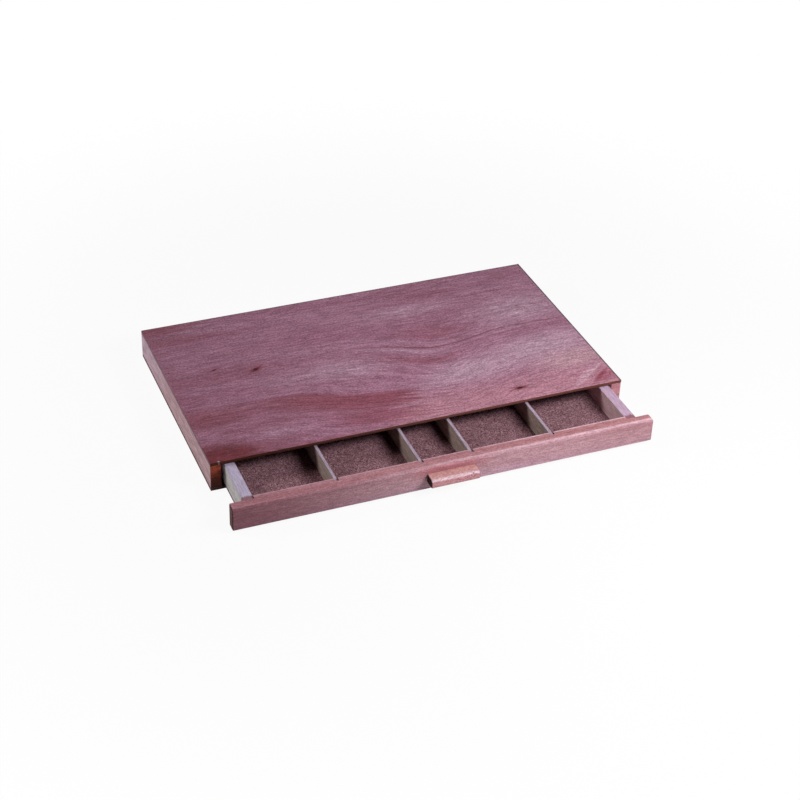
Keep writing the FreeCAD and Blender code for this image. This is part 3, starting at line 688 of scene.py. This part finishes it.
slat = new_finish("divider_slat")
colour, relief = long_grain(slat, "Y", SLAT, SLAT_DARK, SLAT_PORE, streak=(50, 1.4))
colour = mix(slat, facing(slat, "Z", 0.6, 0.8), colour, SLAT_TOP)
colour = speckle(slat, colour, (1.2, 10, 1.1), 0.25)
colour = speckle(slat, colour, (1.0, 1.6, 0.9), 0.15)
seal(slat, colour, relief, 0.06, 0.65, gloss=BARE_GLOSS)
put_on(slat, "divider_outer_left", "divider_inner_left",
       "divider_inner_right", "divider_outer_right")


# ---------------------------------------------------------------- pull and its screws
# The pull is a short bar of the same wood with a rounded nose, held by two screws driven
# from inside the drawer. Its sawn ends are nearly black, from stain and from painted shade.

PULL, PULL_DARK, PULL_PORE = rgb(209, 157, 162), rgb(187, 130, 136), rgb(112, 54, 54)
PULL_TOP, PULL_NOSE_HIGHLIGHT, PULL_PIT = rgb(205, 156, 153), rgb(246, 226, 240), rgb(84, 34, 38)
PULL_END, PULL_END_DARK = rgb(36, 10, 8), rgb(20, 3, 2)
PULL_GLOSS = 0.2

pull = new_finish("pull_hardwood")
colour, relief = long_grain(pull, "X", PULL, PULL_DARK, PULL_PORE,
                            streak=(30, 1.2), pores=(1.9, 0.6))
colour = mix(pull, facing(pull, "Z", 0.8, 0.98), colour, PULL_TOP)
at = spot(pull)
# Painted highlight: a pale band along the top of the nose.
nose_highlight = times(pull, ease(pull, at["Y"], -0.1936, -0.1914, 0.5, 0.0),
             ease(pull, at["Z"], 0.0176, 0.0190))
colour = mix(pull, nose_highlight, colour, PULL_NOSE_HIGHLIGHT)
colour = speckle(pull, colour, (2.4, 1.2, 1.1), 0.3)
for centre, radius, strength in (
    ((16.9, -194.3, 18.9), 1.0, 0.85), ((14.9, -195.2, 17.7), 0.9, 0.7),
    ((17.7, -195.4, 17.1), 0.8, 0.65), ((-10.1, -195.3, 17.3), 0.8, 0.5),
):
    pit = ease(pull, distance(pull, [radius] * 3, centre), 0.3, 1.0, strength, 0.0)
    colour = mix(pull, pit, colour, PULL_PIT)
# The ends: stain-dark end grain, made darker still as painted shade.
ends = facing(pull, "X", 0.6, 0.8)
colour = mix(pull, ends, colour, end_grain(pull, PULL_END_DARK, PULL_END))
dull = calc(pull, "ADD", 0.36, times(pull, ends, 0.6))
seal(pull, colour, relief, 0.06, dull, gloss=PULL_GLOSS)
put_on(pull, "drawer_pull")

screw = new_finish("screw_zinc")
wear = mottle(screw, laid(screw, (0.6, 0.6, 0.6)), detail=2)
zinc = mix(screw, wear, rgb(150, 148, 146), rgb(196, 194, 190))
seal(screw, zinc, wear, 0.02, 0.35, metal=1.0)
put_on(screw, "pull_screws")


# ---------------------------------------------------------------- studio
# A white sweep of paper, a wide strip lamp high at the right front and a smaller one at the
# back left, with white all round.

def white_rays(finish):
    """1 for what is seen straight, in a gloss or through glass; 0 for light on a matt surface."""
    rays = add(finish, "LightPath", {}).outputs
    mirrored = calc(finish, "MAXIMUM", rays["Is Glossy Ray"], rays["Is Transmission Ray"])
    return calc(finish, "MAXIMUM", rays["Is Camera Ray"], mirrored)


SWEEP_HALF = 6
SHADOW_KEPT, SHADOW_LOST = 0.25, 0.7    # metres from the box's middle

paper = new_finish("sweep_paper")
away = distance(paper, (1000, 1000, 1000))
washed = ease(paper, away, SHADOW_KEPT, SHADOW_LOST, 0.93, 1.0)
washed = times(paper, white_rays(paper), washed)
white = add(paper, "Emission", {"Color": (1, 1, 1, 1), "Strength": 1.0})
matt = add(paper, "BsdfDiffuse", {"Color": (0.86, 0.86, 0.86, 1)})
both = add(paper, "MixShader", {0: washed, 1: matt.outputs[0], 2: white.outputs[0]})
add(paper, "OutputMaterial", {"Surface": both.outputs[0]})

corners = [(SWEEP_HALF * x, SWEEP_HALF * y, 0) for x, y in ((-1, -1), (1, -1), (1, 1), (-1, 1))]
sweep_mesh = bpy.data.meshes.new("sweep")
sweep_mesh.from_pydata(corners, [], [(0, 1, 2, 3)])
sweep_mesh.materials.append(paper)
sweep = bpy.data.objects.new("sweep", sweep_mesh)
bpy.context.scene.collection.objects.link(sweep)

BOX_MIDDLE = Vector((0, -0.05, 0))


def soft_box(name, place, wide, high, level):
    """A lamp at a place, facing the box; level is how bright it leaves white paper there."""
    lamp = bpy.data.lights.new(name, "AREA")
    lamp.shape = "RECTANGLE"
    lamp.size = wide
    lamp.size_y = high
    away = Vector(place) - BOX_MIDDLE
    lamp.energy = level * (math.pi * away.length) ** 2
    holder = bpy.data.objects.new(name, lamp)
    holder.location = place
    holder.rotation_euler = away.to_track_quat("Z", "Y").to_euler()
    bpy.context.scene.collection.objects.link(holder)


soft_box("right_front_box", (0.34, -0.52, 0.5), 0.45, 0.18, 0.8)
soft_box("back_left_box", (-0.87, 0.2, 0.56), 0.3, 0.3, 0.36)

world = bpy.data.worlds.new("white_room")
world.use_nodes = True
world.node_tree.nodes.clear()
air = add(world, "Background", {"Color": (1, 1, 1, 1), "Strength": white_rays(world)})
add(world, "OutputWorld", {"Surface": air.outputs[0]})
bpy.context.scene.world = world
bpy.context.scene.view_settings.view_transform = "Standard"

CAMERA_PLACE = (-0.5426, -1.34234, 0.96493)
CAMERA_RIGHT, CAMERA_AHEAD = (0.928455, -0.370219, 0.030171), (0.32174, 0.760961, -0.563403)

camera = bpy.data.cameras.new("camera")
camera.lens = 79.69
camera.sensor_width = 36
holder = bpy.data.objects.new("camera", camera)
right, ahead = Vector(CAMERA_RIGHT).normalized(), Vector(CAMERA_AHEAD).normalized()
up = right.cross(ahead)
turned = Matrix((right, up, -ahead)).transposed()
holder.matrix_world = Matrix.Translation(CAMERA_PLACE) @ turned.to_4x4()
bpy.context.scene.collection.objects.link(holder)
bpy.context.scene.camera = holder
